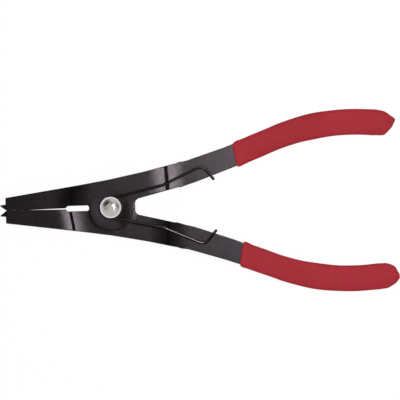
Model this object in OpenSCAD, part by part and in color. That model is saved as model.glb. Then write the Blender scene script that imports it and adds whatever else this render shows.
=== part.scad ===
// Piston ring pliers: two stamped steel levers side by side on one rivet. The levers don't
// cross, so squeezing the handles spreads the jaws, and with them the ring on their nibs.
// Lengths are in millimetres. The pliers lie flat with +Z up. +X runs from the pivot to the
// handles, and +Y to the handle of the front lever, which is the upper plate at the pivot.
// The origin is on the pivot's axis, at the flat foot of the rivet.
// Outlines are drawn for the front lever, and the rear lever is its mirror image in plan.

/* [Plates] */
// Thickness of the steel plate that both levers are stamped from
plate_t = 3; // [2.4:0.1:3.6]
// Running gap between the two plates at the pivot
plate_gap = 0.05; // [0.03:0.01:0.1]
// Radius of the round boss on each lever
boss_r = 12.8; // [12.2:0.1:14]
// Radius of the flatter side of the boss, towards the jaws
boss_side_r = 19.4; // [17:0.2:24]
// Distance from the pivot's axis to a lever's outer edge, beside the pivot
pivot_w = 15.6; // [14.5:0.1:17]
// Length of the soft roll on each side of the step that is pressed into a jaw or handle
roll_l = 7; // [4:0.5:8]
// Share of the whole step that each roll makes up
roll_share = 0.25; // [0.1:0.05:0.4]
// Length of the steep face between the two rolls
step_face_l = 1.3; // [0.8:0.1:3]

/* [Jaws] */
// Length of the jaws, from the pivot's axis to their square ends
jaw_l = 58; // [50:1:68]
// Width of one jaw at its end
jaw_end_w = 7.1; // [5.5:0.1:9]
// Distance from the pivot's axis to the root of the jaw
jaw_root_l = 16; // [14:0.5:18]
// Width of one jaw at its root
jaw_root_w = 13.1; // [12:0.1:14.5]
// Gap between the closed jaws where they meet
jaw_gap = 0.06; // [0.04:0.01:0.2]
// Length over which the closed jaws meet
jaw_touch_l = 13; // [8:1:20]
// Width of the slit between the jaws, where it reaches the window
slit_w = 0.66; // [0.3:0.02:1]
// Width of the window between the jaws
window_w = 3; // [2:0.1:4]
// Distance from the pivot's axis to the near end of the window
window_near = 11.75; // [10.5:0.05:12]
// Distance from the pivot's axis to the far end of the window
window_far = 25.2; // [21:0.2:30]
// Radius of the corners at the near end of the window
window_corner_r = 1.2; // [0.6:0.1:1.2]
// Distance from the pivot's axis to the step in the jaw, on the centre line
jaw_step_l = 22.7; // [21:0.1:26]
// Lean of the step across the jaw, in degrees
jaw_step_tilt = 10; // [0:1:14]

/* [Ring nibs] */
// How far a nib stands out of the jaw's end
nib_l = 3; // [1.5:0.1:4.5]
// Width of a nib at its foot
nib_w = 3.4; // [2.4:0.1:4.4]
// Distance from the centre line to a nib's point
nib_point_w = 3.1; // [1.8:0.1:3.3]
// Width of the blunt point
nib_tip_w = 0.5; // [0.2:0.1:0.8]
// Thickness of a nib
nib_t = 1.6; // [1:0.1:2.2]
// Depth of the notch between the nibs, behind the jaw's end
notch_d = 0.4; // [0.2:0.1:1]

/* [Handles] */
// Distance from the pivot's axis to the crotch between the handles
crotch_l = 13.6; // [13.2:0.1:15]
// Radius of the fillet on each side of the crotch
crotch_r = 2.9; // [2:0.1:3.6]
// Distance from the centre line to the middle of that fillet
crotch_w = 1.74; // [1:0.1:2.4]
// Distance from the pivot's axis to the root of the handle
root_l = 20; // [18:0.5:24]
// Distance from the centre line to the handle's outer edge, at the root
root_w = 19.5; // [18:0.1:21]
// Distance from the pivot's axis to the step in the handle, on the centre line
handle_step_l = 32.5; // [30:0.5:36]
// Distance from the centre line to the handle's outer edge, at the step
handle_step_w = 22.45; // [21.6:0.1:23.6]
// Lean of the step across the handle, in degrees
handle_step_tilt = 3.6; // [0:0.2:6]
// Distance along the centre line from the pivot's axis to the bare part of the handle
neck_x = 43.9; // [42:0.5:48]
// Distance from the centre line to the middle of the handle there
neck_y = 18.2; // [17:0.1:20]
// Slope of the bare part of the handle, in degrees
neck_angle = 18.6; // [15:0.2:20]
// Length of the bare part, to the slight bend before the grip
neck_l = 23.3; // [20:0.5:26]
// Width of the handle where the bare part starts
neck_w = 13; // [12:0.1:14]
// Slope of the straight part in the grip, in degrees
straight_angle = 21.2; // [20:0.2:24]
// Length of the straight part in the grip
straight_l = 27.1; // [22:0.5:36]
// Radius of the bow in the handle
bow_r = 118; // [100:1:140]
// Inward slope of the handle's end, in degrees
tail_angle = 4; // [1:0.5:8]
// Length of the straight tail, to where the handle's end starts to round off
tail_l = 6; // [2:0.5:14]
// Width of the handle in the mouth of the grip
mouth_w = 12; // [11.6:0.1:13]
// Width of the handle in the straight part of the grip
tang_w = 11.4; // [10.4:0.1:12]
// Width of the handle in the bow and at its end
end_w = 12.4; // [11.4:0.1:13.2]
// Length of the handle's rounded end
end_l = 9.6; // [6:0.1:10]
// Length over which the handle narrows inside the mouth
taper_l = 8; // [6:0.5:14]
// Length over which it widens again in the bow
widen_l = 20; // [10:1:30]

/* [Grips] */
// Distance along the handle from the start of its bare part to the mouth of the grip
grip_start = 27.9; // [26.5:0.5:31]
// Thickness of the coat over the handle
coat_t = 0.85; // [0.6:0.05:1.4]
// How far the lip at the mouth stands out
lip_t = 0.2; // [0:0.05:0.4]
// Length of the lip
lip_l = 1.6; // [1:0.1:3]
// Length of the tapered end of the grip
nose_l = 11; // [10.6:0.2:14]
// Fitting gap between the coat and the handle
coat_gap = 0.02; // [0.01:0.01:0.05]

/* [Rivet] */
// Radius of the rivet's shank
rivet_r = 3; // [2.4:0.1:3.4]
// Radial running clearance of the front lever on the shank
rivet_play = 0.05; // [0.02:0.01:0.09]
// Radial clearance of the pieces that the rivet clamps
rivet_fit = 0.02; // [0.01:0.01:0.05]
// Radius of the domed head
head_r = 5.95; // [5.4:0.05:7]
// Height of the straight rim of the head
head_rim_h = 0.7; // [0.4:0.1:1.2]
// Height of the dome over the rim
dome_h = 2.1; // [1.2:0.1:3]
// Radius of the riveted foot
foot_r = 5; // [4.4:0.1:5.6]
// Height of the riveted foot
foot_h = 1.2; // [0.8:0.1:2]
// Chamfer round the riveted foot
foot_chamfer = 0.5; // [0.2:0.1:0.8]
// Radius of the washer over the foot
washer_r = 6.6; // [6.2:0.1:8]
// Thickness of the washer
washer_t = 1; // [0.6:0.1:1.6]

/* [Return spring] */
// Diameter of the spring wire
wire_d = 1.6; // [1.2:0.1:1.8]
// Mean radius of the coil
coil_r = 4.95; // [4.8:0.05:5.3]
// Whole turns of the coil, beside the part turn between the arms
coil_turns = 1; // [1:1:3]
// Gap between the turns, and between the wire and what it lies on
wire_gap = 0.05; // [0.03:0.01:0.15]
// Radial play of the coil on the spacing bush
coil_play = 0.45; // [0.3:0.05:0.6]
// Direction in which the coil lies over, within that play, in degrees from +X
coil_side = 243; // [0:1:360]
// Distance along the centre line from the pivot's axis to the first bend of an arm
bend_x = 29.2; // [26:0.2:34]
// Distance from the centre line to the first bend
bend_y = 11.75; // [11:0.05:13]
// Distance along the centre line to the crest of the hook, before rounding
crest_x = 51.3; // [49:0.1:53]
// Distance from the centre line to the crest, before rounding
crest_y = 21.9; // [20.5:0.1:23]
// Radius of the arm's first bend
bend_r = 5; // [3:0.5:8]
// Radius of the crest
crest_r = 3.5; // [2.4:0.1:4]
// Distance along the centre line to the end of the hook
hook_x = 56.9; // [55.5:0.1:58]
// Gap between the hook and the edge of the handle
hook_gap = 0.3; // [0.25:0.01:0.35]
// Radius inside the bend down over the handle's edge
hook_inner_r = 0.4; // [0.3:0.02:0.4]
// How far short of the plate's lower face the hook ends
hook_rise = 0.4; // [0:0.1:1]

/* [Hidden] */
$fn = 96;

// Heights of the stack, from the foot of the rivet up
rear_z = foot_h + washer_t;
front_z = rear_z + plate_t + plate_gap;
face_z = front_z + plate_t;
// Both jaws and both handles lie in one plane, half way between the two bosses
far_z = (rear_z + front_z) / 2;
coil_pitch = wire_d + wire_gap;
wire_on_front = face_z + wire_gap + wire_d / 2;
wire_on_handle = far_z + plate_t + wire_gap + wire_d / 2;

// How far the slabs that cut the plan out reach past it, and their width
slab_reach = 40;
slab_w = 4 * slab_reach;
// Angle at which the crotch's edge runs into the boss, below the centre line
join_angle = 10;

roll_parts = 5;
wire_sides = 8;
coil_parts = 24;
bend_parts = 4;
grip_sides = 24;
nose_parts = 6;
corner_parts = 6;
bow_parts = 9;
// Shape of the grip's cross-section and of its nose: 2 is an ellipse, and more is squarer
grip_squareness = 4;
nose_squareness = 1.8;

function unit(v) = v / norm(v);
function reversed(list) = [for (i = [len(list) - 1:-1:0]) list[i]];
function arc(centre, r, from, to, parts) =
    [for (i = [0:parts]) let (a = from + (to - from) * i / parts) centre + r * [cos(a), sin(a)]];

// The middle line of the handle, by the distance s along it
bow_start = neck_l + straight_l;
bow_l = bow_r * (straight_angle + tail_angle) * PI / 180;
tail_start = bow_start + bow_l;
handle_end = tail_start + tail_l;
function heading(a) = [cos(a), sin(a)];
function path_angle(s) =
    s < neck_l ? neck_angle :
    s < bow_start ? straight_angle :
    s < tail_start ? straight_angle - (s - bow_start) / bow_r * 180 / PI :
    -tail_angle;
neck_point = [neck_x, neck_y];
bend_point = neck_point + neck_l * heading(neck_angle);
bow_point = bend_point + straight_l * heading(straight_angle);
bow_centre = bow_point - bow_r * heading(straight_angle + 90);
tail_point = bow_centre + bow_r * heading(90 - tail_angle);
function path_point(s) =
    s < neck_l ? neck_point + s * heading(neck_angle) :
    s < bow_start ? bend_point + (s - neck_l) * heading(straight_angle) :
    s < tail_start ? bow_centre + bow_r * heading(path_angle(s) + 90) :
    tail_point + (s - tail_start) * heading(-tail_angle);
function handle_w(s) = lookup(s, [
    [0, neck_w], [grip_start, mouth_w], [grip_start + taper_l, tang_w], [bow_start, tang_w],
    [bow_start + widen_l, end_w]]);
function beside(s, off) = path_point(s) + off * heading(path_angle(s) + 90);

// Stations along the handle: its corners, and even steps round the bow
bow_stations = [for (i = [0:bow_parts]) bow_start + bow_l * i / bow_parts];
handle_stations = concat([0, neck_l, grip_start, grip_start + taper_l], bow_stations);

// The handle in plan from its outer edge round the end to its inner edge, grown on all sides
function handle_outline(grow) = concat(
    [for (s = handle_stations) beside(s, handle_w(s) / 2 + grow)],
    [for (i = [0:2 * nose_parts])
        let (a = 90 - 90 * i / nose_parts)
        beside(handle_end + (end_l + grow) * cos(a), (end_w / 2 + grow) * sin(a))],
    [for (s = reversed(handle_stations)) beside(s, -handle_w(s) / 2 - grow)]);

// The handle's inner edge is a straight line from the crotch to the bare part
inner_start = beside(0, -neck_w / 2);
crotch_centre = [crotch_l + crotch_r, crotch_w];
inner_slope = atan2(inner_start[1] - crotch_centre[1], inner_start[0] - crotch_centre[0])
    - asin(crotch_r / norm(inner_start - crotch_centre));

module window_plan() {
    end_r = window_w / 2;
    corner = [-window_near - window_corner_r, end_r - window_corner_r];
    far = [-window_far + end_r, 0];
    polygon(concat(
        arc([corner[0], -corner[1]], window_corner_r, -90, 0, corner_parts),
        arc(corner, window_corner_r, 0, 90, corner_parts),
        arc(far, end_r, 90, 270, 2 * corner_parts)));
}

module boss_plan() {
    intersection() {
        circle(boss_r);
        translate([boss_side_r - window_near, 0]) circle(boss_side_r);
    }
}

// Outline of the front lever's jaw and handle, closed through the middle of the boss
module lever_plan() {
    half_gap = jaw_gap / 2;
    difference() {
        union() {
            boss_plan();
            polygon(concat(
                [[-jaw_l, nib_w], [-jaw_l, jaw_end_w], [-jaw_root_l, jaw_root_w], [0, pivot_w],
                 [root_l, root_w], [handle_step_l, handle_step_w]],
                handle_outline(0),
                arc(crotch_centre, crotch_r, 90 + inner_slope, 180, corner_parts),
                [boss_r * heading(-join_angle), [0, 0],
                 [-window_far, slit_w / 2], [-jaw_l + jaw_touch_l, half_gap],
                 [-jaw_l + notch_d, half_gap]]));
        }
        window_plan();
    }
}

// Share of the whole rise that a lever has made at distance u past its step
function step_share(u) =
    let (side = u < 0 ? -1 : 1, t = min(abs(u), roll_l), edge = step_face_l / 2,
         near = (0.5 - roll_share) * min(t / edge, 1),
         roll = t < edge ? 0 : roll_share * (1 - pow((roll_l - t) / (roll_l - edge), 2)))
    0.5 + side * (near + roll);
step_stations = concat(
    [for (i = [0:roll_parts - 1]) -roll_l + (roll_l - step_face_l / 2) * i / roll_parts],
    [-step_face_l / 2, step_face_l / 2],
    [for (i = [1:roll_parts]) step_face_l / 2 + (roll_l - step_face_l / 2) * i / roll_parts]);

// A slab as thick as the plate that changes height at x = 0, wide enough to cover any lever
module stepped_slab(from_z, to_z, back_l, ahead_l) {
    line = concat([[-back_l, from_z]],
        [for (u = step_stations) [u, from_z + (to_z - from_z) * step_share(u)]],
        [[ahead_l, to_z]]);
    rotate([90, 0, 0])
        linear_extrude(slab_w, center = true)
            polygon(concat(line, [for (p = reversed(line)) p + [0, plate_t]]));
}

module lever(boss_z, bore_r) {
    handle_reach = norm(path_point(handle_end)) + slab_reach;
    difference() {
        union() {
            intersection() {
                linear_extrude(face_z + plate_t) lever_plan();
                union() {
                    translate([-jaw_step_l, 0, 0])
                        rotate([0, 0, -jaw_step_tilt])
                            mirror([1, 0, 0])
                                stepped_slab(boss_z, far_z, jaw_step_l, jaw_l);
                    translate([handle_step_l, 0, 0])
                        rotate([0, 0, handle_step_tilt])
                            stepped_slab(boss_z, far_z, handle_step_l + boss_r / 2, handle_reach);
                }
            }
            nib();
        }
        translate([0, 0, boss_z - plate_t]) cylinder(r = bore_r, h = 3 * plate_t);
    }
}

// The thin ground point that goes into a ring's end gap, on the middle plane of the jaw
module nib() {
    root_x = -jaw_l + notch_d;
    translate([0, 0, far_z + (plate_t - nib_t) / 2])
        linear_extrude(nib_t)
            polygon([[-jaw_l, nib_w], [-jaw_l - nib_l, nib_point_w],
                     [-jaw_l - nib_l, nib_point_w - nib_tip_w], [root_x, jaw_gap / 2],
                     [root_x + nib_l, jaw_gap / 2], [root_x + nib_l, nib_w]]);
}

module front_lever() {
    color("#2e2a2e") lever(front_z, rivet_r + rivet_play);
}

module rear_lever() {
    color("#353036") mirror([0, 1, 0]) lever(rear_z, rivet_r + rivet_fit);
}

// Rings of the grip's skin: station, half width and half thickness of each
grip_half_t = plate_t / 2 + coat_t;
nose_r = end_w / 2 + coat_t;
function grip_row(s, extra) = [s, handle_w(s) / 2 + coat_t + extra, grip_half_t + extra];
function nose_row(a) =
    let (bulge = 2 / nose_squareness, reach = pow(sin(a), bulge),
         left = min((1 - reach) * nose_l / (2 * grip_half_t), 1))
    [handle_end + nose_l * reach, nose_r * pow(cos(a), bulge),
     grip_half_t * sqrt(1 - pow(1 - left, 2))];
grip_rows = concat(
    [grip_row(grip_start, lip_t), grip_row(grip_start + lip_l, lip_t),
     grip_row(grip_start + 2 * lip_l, 0), grip_row(grip_start + taper_l, 0)],
    [for (s = bow_stations) grip_row(s, 0)],
    [grip_row(handle_end - tail_l / 2, 0)],
    [for (i = [0:nose_parts - 1]) nose_row(90 * i / nose_parts)]);

function squared(c) = sign(c) * pow(abs(c), 2 / grip_squareness);
function grip_ring(row, mid_z) =
    [for (i = [0:grip_sides - 1])
        let (a = 360 * i / grip_sides, p = beside(row[0], row[1] * squared(cos(a))))
        [p[0], p[1], mid_z + row[2] * squared(sin(a))]];

// Triangles of the skin between rings of n points each, which face outwards
function skin_faces(rings, n) =
    [for (r = [0:rings - 2], i = [0:n - 1])
        let (a = r * n + i, b = r * n + (i + 1) % n)
        each [[a, b + n, b], [a, a + n, b + n]]];

module grip_skin() {
    tip = path_point(handle_end + nose_l);
    mid_z = far_z + plate_t / 2;
    points = concat([for (row = grip_rows) each grip_ring(row, mid_z)], [[tip[0], tip[1], mid_z]]);
    last = len(points) - 1;
    polyhedron(points, concat(
        [[for (i = [0:grip_sides - 1]) i]],
        skin_faces(len(grip_rows), grip_sides),
        [for (i = [0:grip_sides - 1])
            [last - grip_sides + i, last, last - grip_sides + (i + 1) % grip_sides]]));
}

module grip() {
    difference() {
        grip_skin();
        translate([0, 0, far_z - coat_gap])
            linear_extrude(plate_t + 2 * coat_gap)
                polygon(handle_outline(coat_gap));
    }
}

module front_grip() {
    color("#a83240") grip();
}

module rear_grip() {
    color("#9c2c3a") mirror([0, 1, 0]) grip();
}

// The return spring runs from the hook on the front lever's handle to the coil, round it,
// and out to the hook on the rear lever's handle
coil_centre = (coil_play - 2 * wire_gap) * heading(coil_side);
bend_from_coil = [bend_x - coil_centre[0], bend_y];
arm_angle = atan2(bend_from_coil[1], bend_from_coil[0]) - asin(coil_r / norm(bend_from_coil));
coil_sweep = 360 * coil_turns + 360 - 2 * (90 + arm_angle);
coil_top = wire_on_front + coil_pitch * coil_sweep / 360;
head_z = coil_top + wire_d / 2 + wire_gap;

// Place on the handle's inner edge line at distance x, moved inwards by off
edge_slope = (inner_start[1] - beside(grip_start, -mouth_w / 2)[1])
    / (inner_start[0] - beside(grip_start, -mouth_w / 2)[0]);
function inside_edge(x, off) =
    inner_start[1] + edge_slope * (x - inner_start[0]) - off * sqrt(1 + pow(edge_slope, 2));

// Points of a fillet of radius r at b, between the lines to a and c
function fillet(a, b, c, r) =
    let (u = unit(a - b), v = unit(c - b), half = acos(u * v) / 2, d = r / tan(half),
         centre = b + unit(u + v) * r / sin(half), turn = 180 - 2 * half,
         p = b + u * d - centre, q = b + v * d - centre)
    [for (i = [0:bend_parts])
        let (t = turn * i / bend_parts) centre + (sin(turn - t) * p + sin(t) * q) / sin(turn)];

// One arm from its end to the coil, on the side of +Y where side is 1 and of -Y where it is -1
function arm(side, coil_z) =
    let (tangent = coil_centre + coil_r * [-sin(arm_angle), side * cos(arm_angle)],
         hook_y = inside_edge(hook_x, wire_d / 2 + hook_gap),
         start = [tangent[0], tangent[1], coil_z],
         bend = [bend_x, side * bend_y + coil_centre[1], wire_on_front],
         crest = [crest_x, side * crest_y + coil_centre[1], wire_on_handle],
         hook = [hook_x, side * hook_y, wire_on_handle],
         end = [hook_x, side * hook_y, far_z + hook_rise + wire_d / 4])
    concat([end], fillet(end, hook, crest, hook_inner_r + wire_d / 2),
           fillet(hook, crest, bend, crest_r), fillet(crest, bend, start, bend_r));

coil_steps = ceil(coil_parts * coil_sweep / 360);
coil_line = [for (i = [0:coil_steps])
    let (t = i / coil_steps, a = 90 + arm_angle + coil_sweep * t,
         p = coil_centre + coil_r * heading(a))
    [p[0], p[1], wire_on_front + (coil_top - wire_on_front) * t]];
spring_line = concat(arm(1, wire_on_front), coil_line, reversed(arm(-1, coil_top)));

// Directions along a line of points, and a side direction carried along it without twist
function tangents(line) = [for (i = [0:len(line) - 1])
    unit(line[min(i + 1, len(line) - 1)] - line[max(i - 1, 0)])];
function carried(ts, i, n) =
    i == len(ts) ? [] :
    let (m = unit(n - (n * ts[i]) * ts[i])) concat([m], carried(ts, i + 1, m));

module tube(line, r, sides) {
    ts = tangents(line);
    ns = carried(ts, 0, [1, 0, 0]);
    points = [for (i = [0:len(line) - 1], k = [0:sides - 1])
        let (a = 360 * k / sides) line[i] + r * (cos(a) * ns[i] + sin(a) * cross(ts[i], ns[i]))];
    last = len(points) - sides;
    polyhedron(points, concat(
        [[for (k = [0:sides - 1]) k]],
        skin_faces(len(line), sides),
        [[for (k = [sides - 1:-1:0]) last + k]]));
}

module return_spring() {
    color("#1c1b1d") tube(spring_line, wire_d / 2, wire_sides);
}

module spring_bush() {
    low_z = face_z + wire_gap;
    bush_r = coil_r - wire_d / 2 - coil_play;
    color("#8d8a84")
        difference() {
            translate([0, 0, low_z]) cylinder(r = bush_r, h = head_z - low_z);
            translate([0, 0, face_z]) cylinder(r = rivet_r + rivet_fit, h = 2 * (head_z - face_z));
        }
}

module pivot_rivet() {
    rim_z = head_z + head_rim_h;
    sphere_r = (head_r * head_r + dome_h * dome_h) / (2 * dome_h);
    color("#bdbab0") {
        cylinder(r1 = foot_r - foot_chamfer, r2 = foot_r, h = foot_h);
        cylinder(r = rivet_r, h = rim_z);
        translate([0, 0, head_z]) cylinder(r = head_r, h = head_rim_h);
        intersection() {
            translate([0, 0, rim_z + dome_h - sphere_r]) sphere(sphere_r);
            translate([0, 0, rim_z]) cylinder(r = head_r, h = 2 * dome_h);
        }
    }
}

module tail_washer() {
    color("#7d7b77")
        translate([0, 0, foot_h])
            difference() {
                cylinder(r = washer_r, h = washer_t);
                translate([0, 0, -washer_t]) cylinder(r = rivet_r + rivet_fit, h = 3 * washer_t);
            }
}

front_lever();
rear_lever();
front_grip();
rear_grip();
pivot_rivet();
tail_washer();
spring_bush();
return_spring();
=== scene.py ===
"""Looks of the piston ring pliers: pressed steel levers, dipped grips, rivet and return spring.

Lengths are in millimetres, and mesh_piece() turns them into metres; the studio is in metres.
+X runs from the pivot to the handles, +Y to the front lever's handle, and +Z up, as in the
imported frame. Outlines are drawn for the front lever, and the rear one is its mirror image.
"""

from math import acos, asin, atan2, ceil, cos, degrees, pi, radians, sin, sqrt, tan

import bmesh
import bpy
import numpy as np
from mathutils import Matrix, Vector
from mathutils.geometry import delaunay_2d_cdt
from numpy.linalg import norm


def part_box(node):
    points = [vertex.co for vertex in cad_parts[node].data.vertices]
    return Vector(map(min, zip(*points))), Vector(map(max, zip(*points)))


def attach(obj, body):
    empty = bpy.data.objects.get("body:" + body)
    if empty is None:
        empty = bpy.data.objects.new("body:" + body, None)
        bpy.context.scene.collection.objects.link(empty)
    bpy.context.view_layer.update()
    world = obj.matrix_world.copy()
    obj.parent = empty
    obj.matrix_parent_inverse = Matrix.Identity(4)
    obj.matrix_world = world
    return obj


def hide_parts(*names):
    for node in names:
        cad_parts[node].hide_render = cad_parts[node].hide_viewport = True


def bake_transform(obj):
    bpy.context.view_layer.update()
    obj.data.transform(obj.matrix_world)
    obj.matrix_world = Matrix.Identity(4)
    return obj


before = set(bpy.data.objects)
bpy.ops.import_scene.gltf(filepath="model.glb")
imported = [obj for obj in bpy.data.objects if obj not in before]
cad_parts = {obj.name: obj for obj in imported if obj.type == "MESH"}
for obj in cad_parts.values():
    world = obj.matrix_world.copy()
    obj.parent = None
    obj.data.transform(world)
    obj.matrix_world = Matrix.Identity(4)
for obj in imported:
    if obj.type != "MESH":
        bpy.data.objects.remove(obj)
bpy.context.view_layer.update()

MM = 0.001
# Lengths and angles below this count as nothing
tiny = 1e-4

# Heights, from the frame
front_box = [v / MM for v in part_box("front_lever")]
rear_box = [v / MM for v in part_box("rear_lever")]
step_h = front_box[1].z - rear_box[1].z
plate_t = front_box[1].z - front_box[0].z - step_h
far_z = front_box[0].z
front_z = far_z + step_h
rear_z = far_z - step_h
face_z = front_z + plate_t

# Jaws and boss
boss_r = 12.8
boss_side_r = 19.4
jaw_l = 58.3
jaw_end_w = 7.1
jaw_root_l = 16
jaw_root_w = 13.1
jaw_gap = 0.01
jaw_touch_l = 13
slit_w = 0.66
window_w = 3
window_near = 12.05
window_far = 24.85
window_corner_r = 1.2
window_near_parts = 8
window_far_parts = 10
pivot_w = 15.6
jaw_step_l = 22.7
jaw_step_tilt = 10
jaw_corner_r = 0.6
# Fillet where the boss's two arcs meet, and how many degrees short of it each arc ends
boss_meet_r = 6
boss_arc_short = 6
boss_side_short = 4
# Where the boss starts below the crotch, and the angle from which it is round
boss_from_y = -0.2
boss_from_angle = -13
boss_parts = 30
boss_side_parts = 8

# Ring nibs
nib_l = 3
nib_w = 3.4
nib_point_w = 3.1
nib_tip_w = 0.5
nib_t = 1.6
nib_point_r = 0.12
nib_foot_r = 0.3
# Width of the ground shoulders round the nib, along it and beside it
nib_shoulder_l = 0.5
nib_shoulder_w = 0.25
nib_shoulder_off = 0.2
notch_d = 0.4

# Handles
crotch_l = 13.6
crotch_r = 2.9
crotch_w = 1.74
crotch_parts = 14
root_l = 20
root_w = 19.5
handle_step_l = 32.5
handle_step_w = 22.45
handle_step_tilt = 3.6
neck_x = 43.9
neck_y = 18.2
neck_angle = 18.6
neck_l = 23.3
neck_w = 13
straight_angle = 21.2
straight_l = 27.1
bow_r = 118
tail_angle = 4
tail_l = 6
mouth_w = 12
tang_w = 11.4
end_w = 12.4
end_l = 9.6
taper_l = 8
widen_l = 20
# Radius that eases the slight bends of the outline, and the one where the neck starts
easy_r = 60
neck_r = 25
# Inside the coat the plate is drawn in by this much, over this length, and ends short
tang_inset = 0.5
tang_inset_l = 40
tang_short = 1.2
handle_station_l = 1.5
tang_end_parts = 25

# The pressed steps: length of the soft rolls before and after the step, the share of the rise
# that each takes, and the length of the steep face between them
jaw_rolls = (9.5, 8)
handle_rolls = (10.5, 10.5)
roll_share = 0.32
jaw_face_l = 1.5
handle_face_l = 1.9
step_soft_l = 0.16
step_softening = (-1, -0.5, 0, 0.5, 1)

# Points of the plate's faces: rows at these distances from each step, a fine patch at the nib,
# and a grid over the rest
step_rows = (0, 0.2, 0.4, 0.55, 0.65, 0.75, 0.85, 0.95, 1.1, 1.3, 1.7, 2.4, 3.2, 4.1, 5.1, 6.1,
             7.1, 8.3, 9.5, 10.7)
rows_end = 11.5
rows_y = (-2, 27)
row_spacing = 0.9
patch_x = (-jaw_l - nib_l + 0.3, -jaw_l + 1.2)
patch_y = (0.2, nib_w + 0.5)
patch_spacing = 0.16
patch_gap = 0.2
grid_spacing = 1.8
grid_x = (-57, 157)
grid_y = (-14, 52)
# How far these points keep from the outline, by their kind, and from the bore
row_room = 0.25
patch_room = 0.12
grid_room = 0.7
bore_room = 0.8
# Length of the outline's pieces, which are divided more finely near a step
edge_l = 0.8
fine_edge_l = 0.3
fine_near_step = 1.8
fine_pieces = 5
# Most of a line that a fillet may take up, and degrees in each of its pieces
fillet_share = 0.45
fillet_step = 9

# Edges of the plate: the punch rolls the upper edge more than the lower one
top_edge_r = 0.34
low_edge_r = 0.22
edge_border = 0.1
nib_edge_share = 0.24
boss_edge_share = 1.6
boss_edge_out = 1
boss_edge_fade = 0.8
edge_parts = 5
least_mitre = 0.5
bore_edge_r = 0.15
bore_edge_parts = 2
bore_sides = 64
bore_rim_share = 0.99
weld_l = 1e-6
# Metal that the press squeezes out past the handle's step, short before its top and long after
bulge_h = 0.34
bulge_at = 7.4
rear_inner_bulge_at = 4.9
bulge_lengths = (1.0, 2.6)
bulge_reach = 8

# The press of the rivet dishes the boss, and leaves a low brow before the handle. Each slope
# runs over a span of x, of y or of the distance from the pivot.
dish_d = 0.09
dish_reach = (5, 11)
brow_h = 0.2
brow_x = (4, 11)
brow_y = (-3, 5)
brow_reach = (12, 15.5)

# Grips
grip_start = 27.9
coat_t = 0.85
coat_gap = 0.02
lip_t = 0.2
nose_l = 11
nose_lead = 2
grip_half_t = plate_t / 2 + coat_t
grip_mid_z = far_z + plate_t / 2
coat_side_t = coat_t + 0.15
# The coat's mouth leans towards the level of the dip, and its corners are drawn back
mouth_lean = 0.18
mouth_lean_l = 10
mouth_corner = 0.5
mouth_corner_power = 8
mouth_cut_l = 3.6
least_coat_t = 0.08
# The rolled mouth, as (distance from the coat's start, how far the skin stands out there)
mouth_lip = [(0, -0.62), (0.06, -0.4), (0.22, -0.2), (0.5, -0.04), (0.9, 0.08), (1.4, 0.8 * lip_t),
             (2.0, lip_t), (2.8, 0.7 * lip_t), (3.6, 0.2 * lip_t), (4.5, 0)]
# The coat's body: where it starts and ends, its rows, and its waves as (height, length, phase)
body_after_start = 5.5
body_before_end = 0.5
body_parts = 62
sag_l = 6
coat_waves = ((0.05, 5.3, 0), (0.04, 2.9, 1))
nose_parts = 26
grip_sides = 72
# Shape of the cross-section: 2 is an ellipse, and more is squarer
coat_squareness = 4
coat_softening = 0.7
sleeve_squareness = 24
sleeve_parts = 40
sleeve_end_short = 0.6
sleeve_end_angles = (80, 65, 50, 35, 20, 8)
# Where each coat starts, how far it sags to one side, where its tip lies, how much its mouth is
# worn away on the outer edge, and the corners of its end in plan as (distance past the handle's
# middle line, offset, radius): the front one was cut, the rear one only dipped
front_coat = {"start": -1.05, "sag": -0.12, "tip": 1.6, "cut": 0.8,
              "outer": [(4.9, 6.4, 6), (11.0, 2.4, 0.9)],
              "inner": [(5.3, -7.15, 3), (9.3, -2.6, 3), (11.0, 1.2, 0.9)]}
rear_coat = {"start": 1.35, "sag": 0.1, "tip": 1.3, "cut": 0.15,
             "outer": [(3.8, 7.15, 6), (8.3, 5.0, 5), (11.0, 2.3, 1.2)],
             "inner": [(4.5, -6.85, 6), (8.8, -4.9, 4), (11.0, 0.2, 1.2)]}

# Rivet, washer and bush
rivet_r = 3
rivet_play = 0.05
rivet_fit = 0.02
head_r = 5.87
head_rim_h = 1.0
dome_h = 1.8
dome_power = 2.9
dome_from = 0.93
dome_parts = 50
# Fillets of the head: how far its lower edge is drawn in and its rim lifted, and their radii
head_draft = 0.05
head_low_r = 0.2
head_rim_lift = 0.02
head_rim_r = 0.28
shank_fillet_r = 0.05
foot_r = 5
foot_h = 1.2
foot_edge_l = 0.3
foot_edge_r = 0.45
# The dimple that the riveting tool leaves in the foot, as (radius, height, fillet)
foot_dimple = [(0, 0.28, 0), (1.5, 0.24, 0.8), (2.2, 0, 0.5)]
washer_r = 6.6
washer_t = 1
washer_edge_r = 0.18
bush_edge_r = 0.12
rivet_sides = 128
ring_sides = 96

# Return spring
wire_d = 1.6
wire_gap = 0.05
coil_r = 4.95
coil_turns = 1
coil_play = 0.45
coil_side = 243
bend_x = 29.2
bend_y = 11.75
crest_x = 51.7
crest_y = 21.9
bend_r = 5
crest_r = 4.6
hook_x = 57.6
hook_gap = 0.3
# How far each hook's end stands off its handle's edge, and along it, by the arm's side
hook_off = {1: 1.1, -1: 0.45}
hook_along = {1: -0.2, -1: 0.4}
hook_inner_r = 0.4
hook_rise = 0.4
wire_sides = 20
wire_chamfer = 0.22
wire_piece_l = 1.2
coil_step = 5
# Where a highlight is painted on the wire by raising its colour, metal and gloss: the slope of the
# rear arm, and less at both hooks
painted_highlight_slope_x = (26, 31)
painted_highlight_slope_y = (-2, 2)
painted_highlight_hooks_x = (48, 51)
painted_highlight_hooks_share = 0.55

# Studio, in metres and watts. The floor and the world are white to the camera and to reflections.
floor_size = 6
floor_grey = 0.95
floor_glow = 0.94
fill_level = 0.35
key_place = (0.20, 0.08, 0.95)
key_aim = (0.04, 0, 0)
key_size = 0.16
key_watts = 6.6
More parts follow.
